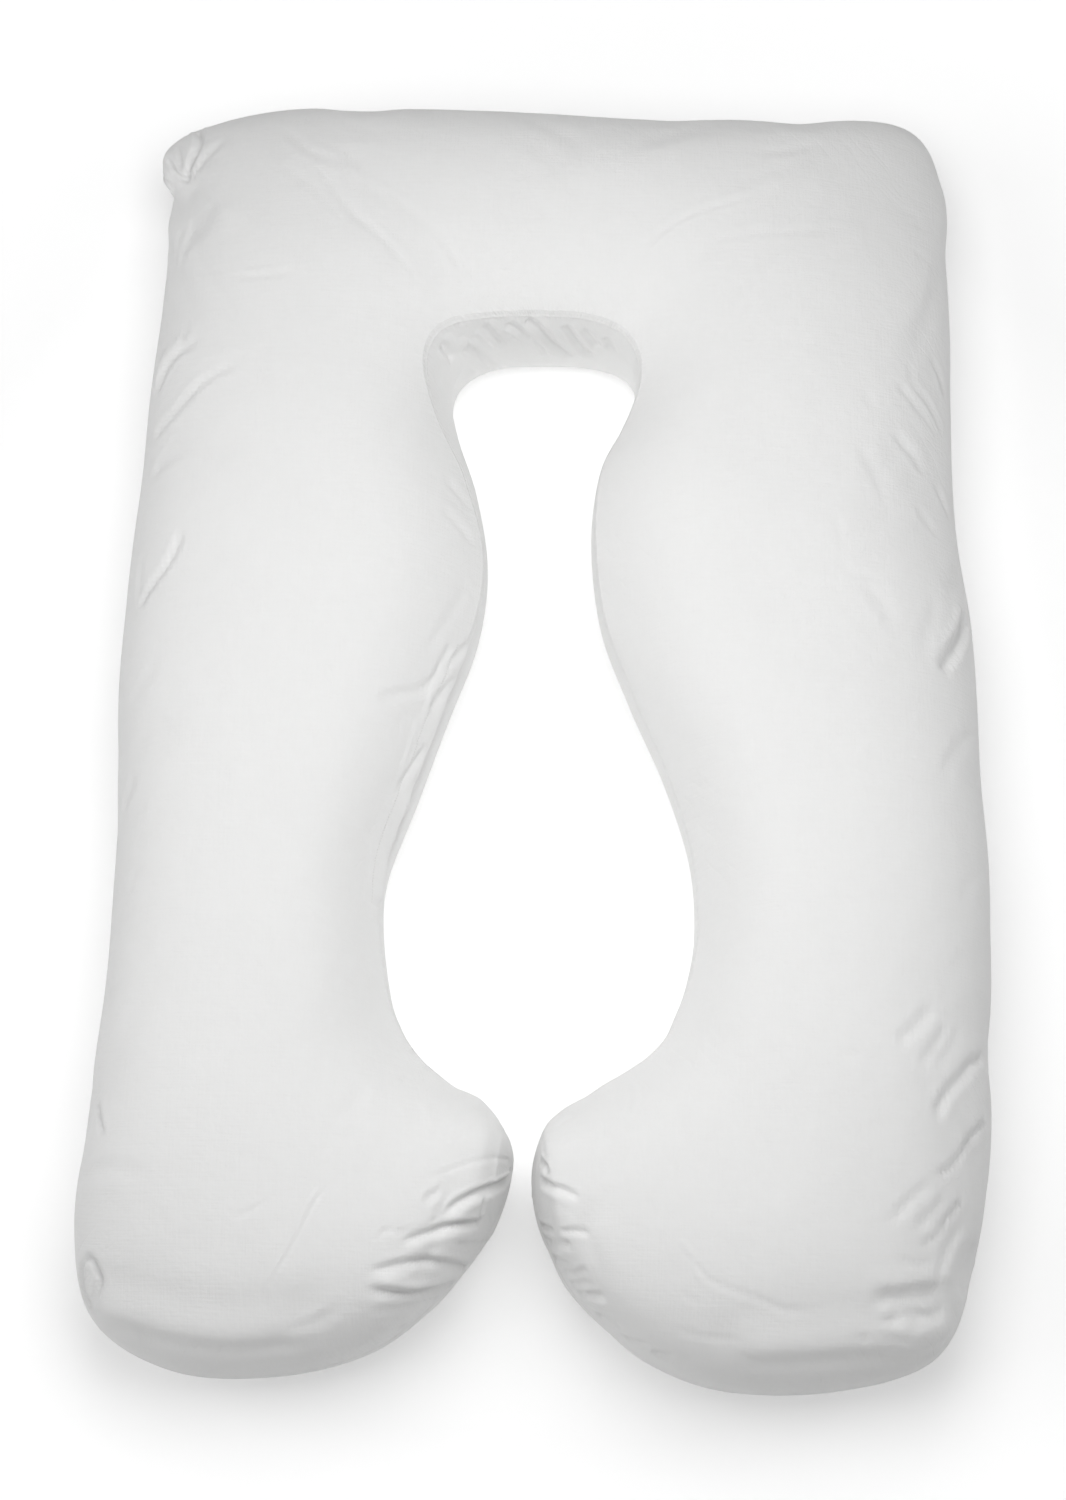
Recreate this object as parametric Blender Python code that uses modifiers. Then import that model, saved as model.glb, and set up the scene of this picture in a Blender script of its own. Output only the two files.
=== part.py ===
"""A U-shaped body pillow in a plain woven cotton cover, lying on its back.

Metres, +Z up. The head bar lies toward +Y and the two legs run toward -Y, with +X to the right.
The origin is on the surface under the middle of the pillow's outline.

The filled cover is one loft. Its ribs cross the U from the inner edge to the outer edge, starting at the
left toe, going up the left leg, round the head bar and down to the right toe.
"""

import collections

import bpy
import numpy as np

# Driving dimensions.
GIRTH_HEIGHT = 0.088  # height of the widest line round the sides
BASE_REACH = 1.16  # the underside's arc in girth heights: what passes 1 is pressed flat on the surface
SIDE_ROUND = 2.25  # exponent of the rounded sides, where 2 is an ellipse
NECK_ROUND = 4.2  # exponent of the boxed wall round the neck hole
STEPS_PER_RIB = 2  # rings of the loft for each rib of the table
RING_POINTS = 30  # points round one ring
CAP_RINGS = 4  # rings that round off the end of a toe

# The empty corner of the cover, folded outward at the left end of the head bar.
CORNER_PLACE = (-0.456, 0.694)
CORNER_TURN = 160.0  # degrees from +X to the way it points
CORNER_REACH = 0.020  # how far the fold stands out of the side
CORNER_LENGTH = 0.036  # half its length along the side
CORNER_HEIGHT = 0.045  # half its height up the side

# The closure flap: a hemmed strip of cover cloth that lies over the opening of the cover.
FLAP_TOP_Y = 0.066
FLAP_END_Y = -0.258
FLAP_GAP = 0.0008
FLAP_THICKNESS = 0.0022
FLAP_FIRST_POINT = 2  # the ring points that the strip spans, counted up from the inner edge
FLAP_LAST_POINT = 4

# One row for each rib: the ends of its widest line, its crown height and how boxed its inner side is.
Rib = collections.namedtuple("Rib", "inner_x inner_y outer_x outer_y crown boxed")
RIBS = (
    # left foot, from the toe
    Rib(-0.040, -0.494, -0.048, -0.592, 0.138, 0.0),
    Rib(-0.051, -0.475, -0.073, -0.633, 0.166, 0.0),
    Rib(-0.066, -0.458, -0.110, -0.678, 0.182, 0.0),
    Rib(-0.086, -0.446, -0.170, -0.723, 0.190, 0.0),
    Rib(-0.107, -0.431, -0.256, -0.748, 0.193, 0.0),
    Rib(-0.124, -0.417, -0.366, -0.748, 0.194, 0.0),
    Rib(-0.138, -0.401, -0.452, -0.700, 0.195, 0.0),
    Rib(-0.150, -0.381, -0.478, -0.606, 0.196, 0.0),
    # left leg
    Rib(-0.163, -0.346, -0.472, -0.484, 0.198, 0.0),
    Rib(-0.173, -0.274, -0.466, -0.334, 0.198, 0.0),
    Rib(-0.170, -0.202, -0.465, -0.209, 0.198, 0.0),
    Rib(-0.143, -0.111, -0.471, -0.101, 0.199, 0.0),
    Rib(-0.112, -0.016, -0.477, -0.004, 0.200, 0.0),
    Rib(-0.082, 0.079, -0.477, 0.089, 0.200, 0.0),
    Rib(-0.074, 0.164, -0.475, 0.176, 0.200, 0.0),
    Rib(-0.090, 0.254, -0.472, 0.272, 0.197, 0.1),
    Rib(-0.112, 0.322, -0.470, 0.368, 0.193, 0.35),
    # neck hole and left corner of the head bar
    Rib(-0.121, 0.371, -0.468, 0.466, 0.190, 0.6),
    Rib(-0.116, 0.406, -0.466, 0.564, 0.190, 0.8),
    Rib(-0.103, 0.428, -0.462, 0.646, 0.190, 1.0),
    Rib(-0.083, 0.442, -0.446, 0.720, 0.188, 1.0),
    Rib(-0.060, 0.450, -0.360, 0.752, 0.188, 1.0),
    # head bar
    Rib(-0.038, 0.453, -0.225, 0.757, 0.190, 1.0),
    Rib(-0.012, 0.454, -0.055, 0.755, 0.190, 1.0),
    Rib(0.020, 0.453, 0.118, 0.751, 0.190, 1.0),
    Rib(0.048, 0.448, 0.278, 0.754, 0.190, 1.0),
    # right corner of the head bar and neck hole
    Rib(0.070, 0.438, 0.408, 0.749, 0.190, 1.0),
    Rib(0.085, 0.420, 0.450, 0.672, 0.192, 0.9),
    Rib(0.091, 0.396, 0.457, 0.570, 0.193, 0.8),
    Rib(0.088, 0.366, 0.458, 0.466, 0.194, 0.6),
    Rib(0.072, 0.324, 0.456, 0.374, 0.197, 0.35),
    # right leg
    Rib(0.049, 0.272, 0.455, 0.286, 0.200, 0.15),
    Rib(0.042, 0.190, 0.459, 0.192, 0.202, 0.0),
    Rib(0.053, 0.095, 0.468, 0.099, 0.203, 0.0),
    Rib(0.086, 0.004, 0.473, 0.008, 0.203, 0.0),
    Rib(0.125, -0.090, 0.474, -0.093, 0.202, 0.0),
    Rib(0.155, -0.186, 0.479, -0.192, 0.201, 0.0),
    Rib(0.161, -0.264, 0.478, -0.277, 0.200, 0.0),
    Rib(0.152, -0.324, 0.475, -0.386, 0.199, 0.0),
    # right foot, to the toe
    Rib(0.139, -0.363, 0.469, -0.498, 0.198, 0.0),
    Rib(0.129, -0.386, 0.450, -0.618, 0.197, 0.0),
    Rib(0.113, -0.405, 0.410, -0.714, 0.196, 0.0),
    Rib(0.092, -0.421, 0.308, -0.751, 0.195, 0.0),
    Rib(0.067, -0.437, 0.198, -0.754, 0.194, 0.0),
    Rib(0.048, -0.451, 0.119, -0.729, 0.191, 0.0),
    Rib(0.028, -0.467, 0.066, -0.688, 0.183, 0.0),
    Rib(0.014, -0.482, 0.031, -0.649, 0.167, 0.0),
    Rib(0.006, -0.497, 0.012, -0.607, 0.140, 0.0),
)
LEFT_TOE_TIP = (-0.028, -0.530)
RIGHT_TOE_TIP = (-0.006, -0.558)


def remove_everything():
    """Removes the objects that the scene starts with."""
    for thing in list(bpy.data.objects):
        bpy.data.objects.remove(thing)


def cotton(name, color, roughness):
    """A plain matt cloth material."""
    material = bpy.data.materials.new(name)
    material.use_nodes = True
    shader = material.node_tree.nodes["Principled BSDF"]
    shader.inputs["Base Color"].default_value = (*color, 1.0)
    shader.inputs["Roughness"].default_value = roughness
    shader.inputs["Metallic"].default_value = 0.0
    return material


def smooth_rows(rows, steps):
    """Rows in between the given ones, on the curve through them whose slope at a row is half the step
    between its two neighbours."""
    slopes = np.gradient(rows, axis=0)
    place = np.linspace(0, len(rows) - 1, (len(rows) - 1) * steps + 1)
    low = np.minimum(place.astype(int), len(rows) - 2)
    t = (place - low)[:, None]
    return (
        rows[low] * (1 + 2 * t) * (1 - t) ** 2
        + rows[low + 1] * (3 - 2 * t) * t**2
        + slopes[low] * t * (1 - t) ** 2
        - slopes[low + 1] * (1 - t) * t**2
    )


def rounded_end(row, tip):
    """Rows that close the loft over a parabola from a rib to the tip, and their sizes as shares of the
    rib, nearest the rib first: the distance to the tip falls as the square of the size. The tip itself is
    a single point."""
    tip = np.array(tip)
    middle = (row[0:2] + row[2:4]) / 2
    half = (row[2:4] - row[0:2]) / 2
    sizes = 1 - np.arange(1, CAP_RINGS + 1) / (CAP_RINGS + 1)
    rows = []
    for size in sizes:
        centre = tip + (middle - tip) * size**2
        rows.append([*(centre - half * size), *(centre + half * size), *row[4:]])
    return np.array(rows), sizes


def rings(rows, sizes):
    """Points of every ring. The angle starts at the inner edge and passes over the crown to the outer
    edge and back below. A ring is a superellipse about the rib's widest line, and z stops at 0."""
    angle = np.arange(RING_POINTS) / RING_POINTS * 2 * np.pi
    across, rise = -np.cos(angle), np.sin(angle)
    boxed = rows[:, 5:6] * (across < 0)
    exponent = SIDE_ROUND + (NECK_ROUND - SIDE_ROUND) * boxed
    share = 0.5 + 0.5 * np.sign(across) * np.abs(across) ** (2 / exponent)
    lift = np.abs(rise) ** (2 / exponent) * sizes[:, None]
    crown = rows[:, 4:5]
    above = GIRTH_HEIGHT + (crown - GIRTH_HEIGHT) * lift
    below = np.maximum(GIRTH_HEIGHT * (1 - BASE_REACH * lift), 0.0)
    points = np.empty((len(rows), RING_POINTS, 3))
    points[..., 0] = rows[:, 0:1] * (1 - share) + rows[:, 2:3] * share
    points[..., 1] = rows[:, 1:2] * (1 - share) + rows[:, 3:4] * share
    points[..., 2] = np.where(rise >= 0, above, below)
    return points


def add_corner_fold(points):
    """Draws the side out into the folded corner: a bell-shaped push along the way that it points."""
    turn = np.radians(CORNER_TURN)
    away = np.array([np.cos(turn), np.sin(turn)])
    flat = points[..., :2] - CORNER_PLACE
    along = flat @ np.array([-away[1], away[0]])
    up = points[..., 2] - GIRTH_HEIGHT
    near = np.hypot(*np.moveaxis(flat, -1, 0)) < 3 * CORNER_LENGTH
    push = CORNER_REACH * np.exp(-((along / CORNER_LENGTH) ** 2) - (up / CORNER_HEIGHT) ** 2) * near
    points[..., :2] += push[..., None] * away
    return points


def pillow_surface():
    """Ring points of the whole loft and its two toe tips."""
    ribs = smooth_rows(np.array(RIBS), STEPS_PER_RIB)
    left, left_sizes = rounded_end(ribs[0], LEFT_TOE_TIP)
    right, right_sizes = rounded_end(ribs[-1], RIGHT_TOE_TIP)
    rows = np.concatenate([left[::-1], ribs, right])
    sizes = np.concatenate([left_sizes[::-1], np.ones(len(ribs)), right_sizes])
    tips = [(*LEFT_TOE_TIP, GIRTH_HEIGHT), (*RIGHT_TOE_TIP, GIRTH_HEIGHT)]
    return add_corner_fold(rings(rows, sizes)), tips


def grid_quads(index):
    """Quads of a grid of vertex numbers. They face out where the rows run along the loft and the columns
    run from the inner edge over the crown."""
    corners = [index[:-1, :-1], index[1:, :-1], index[1:, 1:], index[:-1, 1:]]
    return np.stack(corners, axis=-1).reshape(-1, 4).tolist()


def add_object(name, vertices, faces, material, collection):
    """One named mesh object in the collection, shaded smooth."""
    mesh = bpy.data.meshes.new(name)
    mesh.from_pydata(vertices.tolist(), [], faces)
    mesh.materials.append(material)
    mesh.shade_smooth()
    thing = bpy.data.objects.new(name, mesh)
    collection.objects.link(thing)
    return thing


def add_pillow(points, tips, material, collection):
    """The filled cover: quads between neighbouring rings, and a fan of triangles at each toe tip."""
    count, around = points.shape[:2]
    index = np.arange(count * around).reshape(count, around)
    index = np.concatenate([index, index[:, :1]], axis=1)
    first_tip, last_tip = count * around, count * around + 1
    faces = grid_quads(index)
    faces += [(first_tip, a, b) for a, b in zip(index[0, :-1].tolist(), index[0, 1:].tolist())]
    faces += [(last_tip, b, a) for a, b in zip(index[-1, :-1].tolist(), index[-1, 1:].tolist())]
    vertices = np.concatenate([points.reshape(-1, 3), tips])
    return add_object("pillow", vertices, faces, material, collection)


def outward(points):
    """Unit normals of the rings' grid."""
    along = np.gradient(points, axis=0)
    around = (np.roll(points, -1, axis=1) - np.roll(points, 1, axis=1)) / 2
    normal = np.cross(along, around)
    return normal / np.linalg.norm(normal, axis=-1, keepdims=True)


def add_flap(points, material, collection):
    """The closure flap: a strip that follows the left leg's inner side, a little off the cover."""
    inner_x, inner_y = points[:, 0, 0], points[:, 0, 1]
    rows = (inner_x < 0) & (inner_y > FLAP_END_Y) & (inner_y < FLAP_TOP_Y)
    columns = slice(FLAP_FIRST_POINT, FLAP_LAST_POINT + 1)
    skin = (points + outward(points) * FLAP_GAP)[rows, columns]
    faces = grid_quads(np.arange(skin[..., 0].size).reshape(skin.shape[:2]))
    flap = add_object("closure_flap", skin.reshape(-1, 3), faces, material, collection)
    thickness = flap.modifiers.new("thickness", "SOLIDIFY")
    thickness.thickness = FLAP_THICKNESS
    thickness.offset = 1.0
    return flap


def main():
    remove_everything()
    collection = bpy.data.collections.new("body_pillow")
    bpy.context.scene.collection.children.link(collection)
    cover = cotton("cover_cotton", (0.88, 0.88, 0.87), 0.85)
    hem = cotton("flap_cotton", (0.84, 0.84, 0.83), 0.85)
    points, tips = pillow_surface()
    add_pillow(points, tips, cover, collection)
    add_flap(points, hem, collection)


main()
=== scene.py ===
"""The looks of a U-shaped body pillow that lies on its back: cover, seam, creases, closure flap, weave.

Metres, +Z up, the head bar toward +Y and the toes toward -Y. The cover is one closed surface of two
parameters: the station along the U, from the left toe round the head bar to the right toe, and the place
round the section. Columns 0 to FRONT_COLUMNS are the front panel, from the inner seam over the crown to the
outer seam, and the rest are the back panel.
"""

import math

import bpy
import numpy as np
from mathutils import Matrix, Vector


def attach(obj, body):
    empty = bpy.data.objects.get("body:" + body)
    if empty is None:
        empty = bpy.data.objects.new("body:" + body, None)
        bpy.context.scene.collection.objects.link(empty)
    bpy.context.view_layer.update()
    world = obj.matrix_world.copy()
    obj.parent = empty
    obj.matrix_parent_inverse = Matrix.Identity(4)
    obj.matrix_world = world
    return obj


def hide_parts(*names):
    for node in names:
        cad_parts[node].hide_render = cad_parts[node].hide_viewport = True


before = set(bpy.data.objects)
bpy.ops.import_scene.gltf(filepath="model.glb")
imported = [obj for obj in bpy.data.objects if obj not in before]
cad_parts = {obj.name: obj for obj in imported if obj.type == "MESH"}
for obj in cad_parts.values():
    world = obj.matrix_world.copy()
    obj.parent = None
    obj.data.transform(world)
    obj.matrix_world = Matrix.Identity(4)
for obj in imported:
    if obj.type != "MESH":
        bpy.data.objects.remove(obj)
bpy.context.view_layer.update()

# ---------------------------------------------------------------- the pillow's own sizes
GIRTH_HEIGHT = 0.088  # height of the widest line round the sides
BASE_REACH = 1.16  # the underside's arc in girth heights: what passes 1 is pressed flat
SIDE_ROUND = 2.25  # exponent of the rounded sides
NECK_ROUND = 4.2  # exponent of the boxed wall round the neck hole
WALL_BULGE = 0.004  # how far the wall round the neck hole stands out halfway up

ROWS = 980  # stations along the U
CAP_ROWS = 16  # of those, the ones that round off each toe
FRONT_COLUMNS = 100
BACK_COLUMNS = 78
FRONT_STEPS = 200  # of the finer sections that the columns are read from
BACK_STEPS = 140

# For each rib the ends of its widest line (inner x and y, outer x and y), the crown's height, how boxed the
# inner side is, the height of the inner seam and how far it stands back from the widest line, the exponent
# of the top's fall to that seam, the exponent of the rounded outer side, and the share of the width at which
# the crown stands. Lengths are in millimetres.
RIB_UNITS = (1000, 1000, 1000, 1000, 1000, 1, 1000, 1000, 1, 1, 1)
RIBS = (
    # left foot, from the toe
    (-36.5, -491, -48, -592, 170, 0, 100, 2, 3.4, 2.45, 0.5),
    (-48, -471, -73, -633, 186, 0, 104, 2, 3.4, 2.45, 0.5),
    (-63, -455, -110, -678, 191, 0, 106, 2, 3.4, 2.4, 0.48),
    (-86, -446, -170, -723, 194, 0, 107, 2, 3.4, 2.45, 0.46),
    (-107, -431, -256, -748, 193, 0, 108, 2, 3.4, 2.25, 0.46),
    (-124, -417, -366, -748, 194, 0, 108, 2, 3.4, 2.15, 0.46),
    (-138, -401, -452, -700, 195, 0, 108, 2, 3.4, 2.15, 0.46),
    (-150, -381, -478, -606, 196, 0, 108, 2, 3.4, 2.35, 0.48),
    # left leg
    (-163, -346, -472, -484, 198, 0, 109, 2, 3.4, 2.6, 0.48),
    (-173, -274, -466, -334, 198, 0.15, 114, 3, 3.4, 2.75, 0.48),
    (-170, -202, -465, -209, 198, 0.35, 121, 4.5, 3.4, 2.8, 0.48),
    (-143, -111, -471, -101, 199, 0.45, 124, 5, 3.4, 2.8, 0.48),
    (-112, -16, -477, -4, 200, 0.45, 123, 5, 3.2, 2.8, 0.48),
    (-82, 79, -477, 89, 200, 0.3, 118, 3.5, 3, 2.75, 0.48),
    (-74, 164, -475, 176, 200, 0.15, 116, 3, 2.9, 2.65, 0.47),
    (-90, 254, -472, 272, 197, 0.2, 126, 10, 2.8, 2.5, 0.46),
    (-112, 322, -470, 368, 193, 0.35, 148, 22, 2.6, 2.35, 0.44),
    # neck hole and left corner of the head bar
    (-121, 371, -468, 466, 190, 0.6, 162, 30, 2.5, 2.15, 0.42),
    (-116, 406, -466, 564, 190, 0.8, 163, 30, 2.5, 1.95, 0.4),
    (-103, 428, -462, 646, 190, 1, 160, 22, 2.5, 1.75, 0.38),
    (-83, 442, -446, 720, 188, 1, 155, 12, 2.5, 1.7, 0.36),
    (-60, 450, -360, 752, 188, 1, 152, 6, 2.5, 1.85, 0.38),
    # head bar
    (-38, 453, -225, 757, 190, 1, 150, 4, 2.5, 2, 0.4),
    (-12, 454, -55, 755, 190, 1, 149, 3, 2.5, 2.1, 0.42),
    (20, 453, 118, 751, 190, 1, 149, 3, 2.5, 2.1, 0.42),
    (48, 448, 278, 754, 190, 1, 147, 3, 2.5, 1.95, 0.4),
    # right corner of the head bar and neck hole
    (70, 438, 408, 749, 188, 1, 143, 3, 2.5, 1.7, 0.36),
    (85, 420, 450, 672, 189, 0.9, 140, 2, 2.5, 1.7, 0.36),
    (91, 396, 457, 570, 192, 0.8, 138, 2, 2.5, 1.85, 0.4),
    (88, 366, 458, 466, 194, 0.6, 134, 2, 2.6, 1.95, 0.42),
    (72, 324, 456, 374, 197, 0.35, 128, 2, 2.8, 2.05, 0.44),
    # right leg
    (49, 272, 455, 286, 200, 0.15, 124, 2, 3, 2.1, 0.46),
    (42, 190, 459, 192, 202, 0, 126, 2, 3.2, 2.15, 0.47),
    (53, 95, 468, 99, 203, 0, 120, 2, 3.3, 2.2, 0.48),
    (86, 4, 473, 8, 203, 0, 112, 2, 3.4, 2.25, 0.48),
    (125, -90, 474, -93, 202, 0, 110, 2, 3.4, 2.3, 0.48),
    (155, -186, 479, -192, 201, 0, 109, 2, 3.4, 2.3, 0.48),
    (161, -264, 478, -277, 200, 0, 108, 2, 3.4, 2.3, 0.48),
    (152, -324, 475, -386, 199, 0, 108, 2, 3.4, 2.25, 0.48),
    # right foot, to the toe
    (139, -363, 469, -498, 198, 0, 108, 2, 3.4, 2.2, 0.46),
    (129, -386, 450, -618, 197, 0, 108, 2, 3.4, 2.15, 0.47),
    (113, -405, 410, -714, 196, 0, 108, 2, 3.4, 2.15, 0.46),
    (92, -421, 308, -751, 195, 0, 108, 2, 3.4, 2.2, 0.46),
    (67, -437, 198, -754, 194, 0, 107, 2, 3.4, 2.25, 0.46),
    (48, -451, 119, -729, 194, 0, 107, 2, 3.4, 2.45, 0.46),
    (21, -468, 66, -688, 192, 0, 106, 2, 3.4, 2.4, 0.47),
    (4, -484, 31, -649, 187, 0, 104, 2, 3.4, 2.45, 0.49),
    (-0.5, -500, 12, -607, 172, 0, 100, 2, 3.4, 2.45, 0.5),
)
# How closely the stations stand: the number of a rib, and the closeness there
ROW_CLOSENESS = (
    (0, 1.9), (5, 1.5), (9, 0.85), (14, 0.85), (17, 0.9), (18.5, 1.9), (20.3, 1.9), (22, 0.9), (30, 0.85),
    (38, 0.85), (41, 1.4), (47, 1.9),
)
LEFT_TOE_TIP = (-0.028, -0.530)
RIGHT_TOE_TIP = (-0.006, -0.558)


# ---------------------------------------------------------------- surfaces
def smooth_rows(rows, place):
    """Rows at fractional places, on the curve through the given ones whose slope at a row is half the
    step between its two neighbours."""
    slopes = np.gradient(rows, axis=0)
    low = np.clip(place.astype(int), 0, len(rows) - 2)
    t = (place - low)[:, None]
    return (
        rows[low] * (1 + 2 * t) * (1 - t) ** 2
        + rows[low + 1] * (3 - 2 * t) * t**2
        + slopes[low] * t * (1 - t) ** 2
        - slopes[low + 1] * (1 - t) * t**2
    )


def spaced_places(rows, count):
    """Fractional places of stations, spaced evenly in the mean of the inner, middle and outer path."""
    dense = np.linspace(0, len(rows) - 1, (len(rows) - 1) * 24 + 1)
    fine = smooth_rows(rows, dense)
    inner, outer = fine[:, 0:2], fine[:, 2:4]
    middle = (inner + outer) / 2
    steps = [np.linalg.norm(np.diff(path, axis=0), axis=1) for path in (inner, middle, outer, outer)]
    closeness = np.interp(dense[1:], *np.array(ROW_CLOSENESS).T)
    length = np.concatenate([[0], np.cumsum(np.mean(steps, axis=0) * closeness)])
    return np.interp(np.linspace(0, length[-1], count), length, dense)


def toe_rows(row, tip, sizes):
    """Rows that close the loft over a parabola from a rib to the tip: the distance to the tip falls as
    the square of the size."""
    tip = np.array(tip)
    middle, half = (row[0:2] + row[2:4]) / 2, (row[2:4] - row[0:2]) / 2
    centre = tip + (middle - tip) * sizes[:, None] ** 2
    reach = half * sizes[:, None]
    rest = np.broadcast_to(row[4:], (len(sizes), len(row) - 4))
    return np.concatenate([centre - reach, centre + reach, rest], axis=1)


def plan_points(rows, share, height):
    """Points at a share of each rib from its inner to its outer end, at a height."""
    points = np.empty((*share.shape, 3))
    points[..., 0] = rows[:, 0:1] * (1 - share) + rows[:, 2:3] * share
    points[..., 1] = rows[:, 1:2] * (1 - share) + rows[:, 3:4] * share
    points[..., 2] = height
    return points


def front_section(rows, sizes, steps):
    """The front panel across each row, from the inner seam over the crown to the outer seam. Inside the
    crown the height is seam + (crown - seam) * (1 - d ** edge), with d the distance from the crown over
    its most; outside it is a quarter of a superellipse."""
    crown, seam, setback, edge, outer, peak = (rows[:, i : i + 1] for i in (4, 6, 7, 8, 9, 10))
    width = np.linalg.norm(rows[:, 2:4] - rows[:, 0:2], axis=1)[:, None]
    toward = (np.linspace(0, 1, steps)[None, :]) ** 1.3
    first = np.minimum(setback / np.maximum(width * sizes[:, None], 1e-3), 0.2)
    inner_share = first + (peak - first) * toward
    inner_height = seam + (crown - seam) * (1 - (1 - toward) ** edge)
    turn = np.linspace(0, np.pi / 2, steps)[None, 1:]
    outer_share = peak + (1 - peak) * np.sin(turn) ** (2 / outer)
    outer_height = GIRTH_HEIGHT + (crown - GIRTH_HEIGHT) * np.maximum(np.cos(turn), 0) ** (2 / outer)
    share = np.concatenate([inner_share, outer_share], axis=1)
    height = np.concatenate([inner_height, outer_height], axis=1)
    height = GIRTH_HEIGHT + (height - GIRTH_HEIGHT) * sizes[:, None]
    return plan_points(rows, share, height)


def back_section(rows, sizes, steps):
    """The back panel across each row: down from the outer seam, flat along the ground, up to the widest
    line on the inner side, and on to the inner seam along a wall that bulges by WALL_BULGE."""
    boxed, seam, setback = (rows[:, i : i + 1] for i in (5, 6, 7))
    width = np.linalg.norm(rows[:, 2:4] - rows[:, 0:2], axis=1)[:, None]
    turn = np.linspace(0, np.pi, 2 * steps)[None, :]
    across, drop = np.cos(turn), np.abs(np.sin(turn))
    exponent = SIDE_ROUND + (NECK_ROUND - SIDE_ROUND) * boxed * (across < 0)
    share = 0.5 + 0.5 * np.sign(across) * np.abs(across) ** (2 / exponent)
    height = np.maximum(GIRTH_HEIGHT * (1 - BASE_REACH * drop ** (2 / exponent) * sizes[:, None]), 0.0)
    climb = np.linspace(0, 1, steps)[None, 1:]
    seam_height = GIRTH_HEIGHT + (seam - GIRTH_HEIGHT) * sizes[:, None]
    bulge = WALL_BULGE * np.sin(np.pi * climb) * boxed
    real_width = np.maximum(width * sizes[:, None], 1e-3)
    wall_share = np.minimum(setback / real_width, 0.2) * climb - bulge / real_width
    wall_height = GIRTH_HEIGHT + (seam_height - GIRTH_HEIGHT) * climb
    share = np.concatenate([share, wall_share], axis=1)
    height = np.concatenate([height, wall_height], axis=1)
    return plan_points(rows, share, height)


def unit(vectors):
    return vectors / np.maximum(np.linalg.norm(vectors, axis=-1, keepdims=True), 1e-12)


def measured(ring, weights=None):
    """Length along each open ring up to each of its points, weighted if there are weights."""
    step = np.linalg.norm(np.diff(ring, axis=1), axis=-1)
    if weights is not None:
        step = step * (weights[:, 1:] + weights[:, :-1]) / 2
    return np.concatenate([np.zeros((len(ring), 1)), np.cumsum(step, axis=1)], axis=1)


def measured_line(points):
    """Length along one line up to each of its points."""
    return measured(points[None])[0]


def resampled(ring, weights, count):
    """Each ring read again at count + 1 points, evenly spaced in weighted length."""
    length = measured(ring, weights)
    result = np.empty((len(ring), count + 1, 3))
    for row, (along, points) in enumerate(zip(length, ring)):
        wanted = np.linspace(0, along[-1], count + 1)
        for axis in range(3):
            result[row, :, axis] = np.interp(wanted, along, points[:, axis])
    return result


def cover_panels():
    """The plain cover as a front and a back panel of rows and columns, each with both of its seams."""
    ribs = np.array(RIBS) / RIB_UNITS
    places = spaced_places(ribs, ROWS - 2 * CAP_ROWS)
    body = smooth_rows(ribs, places)
    sizes = 1 - np.arange(1, CAP_ROWS + 1) / (CAP_ROWS + 1)
    left, right = toe_rows(body[0], LEFT_TOE_TIP, sizes), toe_rows(body[-1], RIGHT_TOE_TIP, sizes)
    rows = np.concatenate([left[::-1], body, right])
    sizes = np.concatenate([sizes[::-1], np.ones(len(body)), sizes])

    front = front_section(rows, sizes, FRONT_STEPS)
    back = back_section(rows, sizes, BACK_STEPS)
    length = measured(front)
    to_outer = length[:, -1:] - length
    closer = 1 + 1.8 * np.exp(-((length / 0.012) ** 2)) + 0.5 * np.exp(-((to_outer / 0.06) ** 2))
    front = resampled(front, closer, FRONT_COLUMNS)
    length = measured(back)
    to_inner = length[:, -1:] - length
    inner_half = to_inner < to_inner[:, :1] / 2
    closer = 0.14 + np.where(inner_half, 1.0, 0.7) * np.clip(back[..., 2] / 0.04, 0, 1)
    closer += 2.0 * np.exp(-((to_inner / 0.016) ** 2))
    return front, resampled(back, closer, BACK_COLUMNS)


def cloth_places(front, back):
    """Two maps of the panels, in metres. The first is where each point lies on the panel as it was cut:
    the panel's middle line in plan, and from there the length across along the rib's direction. The
    second is the length along the U and the distance from the nearest seam."""
    cut, seams = [], []
    direction = unit(front[:, -1, :2] - front[:, 0, :2])
    run = measured_line(front[:, front.shape[1] // 2])[:, None]
    for panel, way in ((front, 1), (back, -1)):
        across = measured(panel)
        centre = panel.shape[1] // 2
        reach = way * (across - across[:, centre : centre + 1])
        cut.append(panel[:, centre : centre + 1, :2] + direction[:, None] * reach[..., None])
        to_seam = np.minimum(across, across[:, -1:] - across)
        seams.append(np.stack(np.broadcast_arrays(run, to_seam), axis=-1))
    return np.concatenate(cut, axis=1), np.concatenate(seams, axis=1)


def grid_normals(grid):
    """Unit outward normals of a grid whose columns close on themselves."""
    along = np.gradient(grid, axis=0)
    around = (np.roll(grid, -1, axis=1) - np.roll(grid, 1, axis=1)) / 2
    return unit(np.cross(along, around))


def grid_faces(rows, columns, closed):
    """Quads of a grid, whose columns may close on themselves, and the fans that join its first and last
    rows to the tips numbered after it."""
    index = np.arange(rows * columns).reshape(rows, columns)
    ahead = np.roll(index, -1, axis=1)
    if not closed:
        index, ahead = index[:, :-1], ahead[:, :-1]
    tips = [np.full(index.shape[1], rows * columns + end) for end in (0, 1)]
    quads = np.stack([index[:-1], index[1:], ahead[1:], ahead[:-1]], axis=-1).reshape(-1, 4)
    first = np.stack([tips[0], index[0], ahead[0]], axis=-1)
    last = np.stack([tips[1], ahead[-1], index[-1]], axis=-1)
    return quads.tolist() + first.tolist() + last.tolist()


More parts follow.
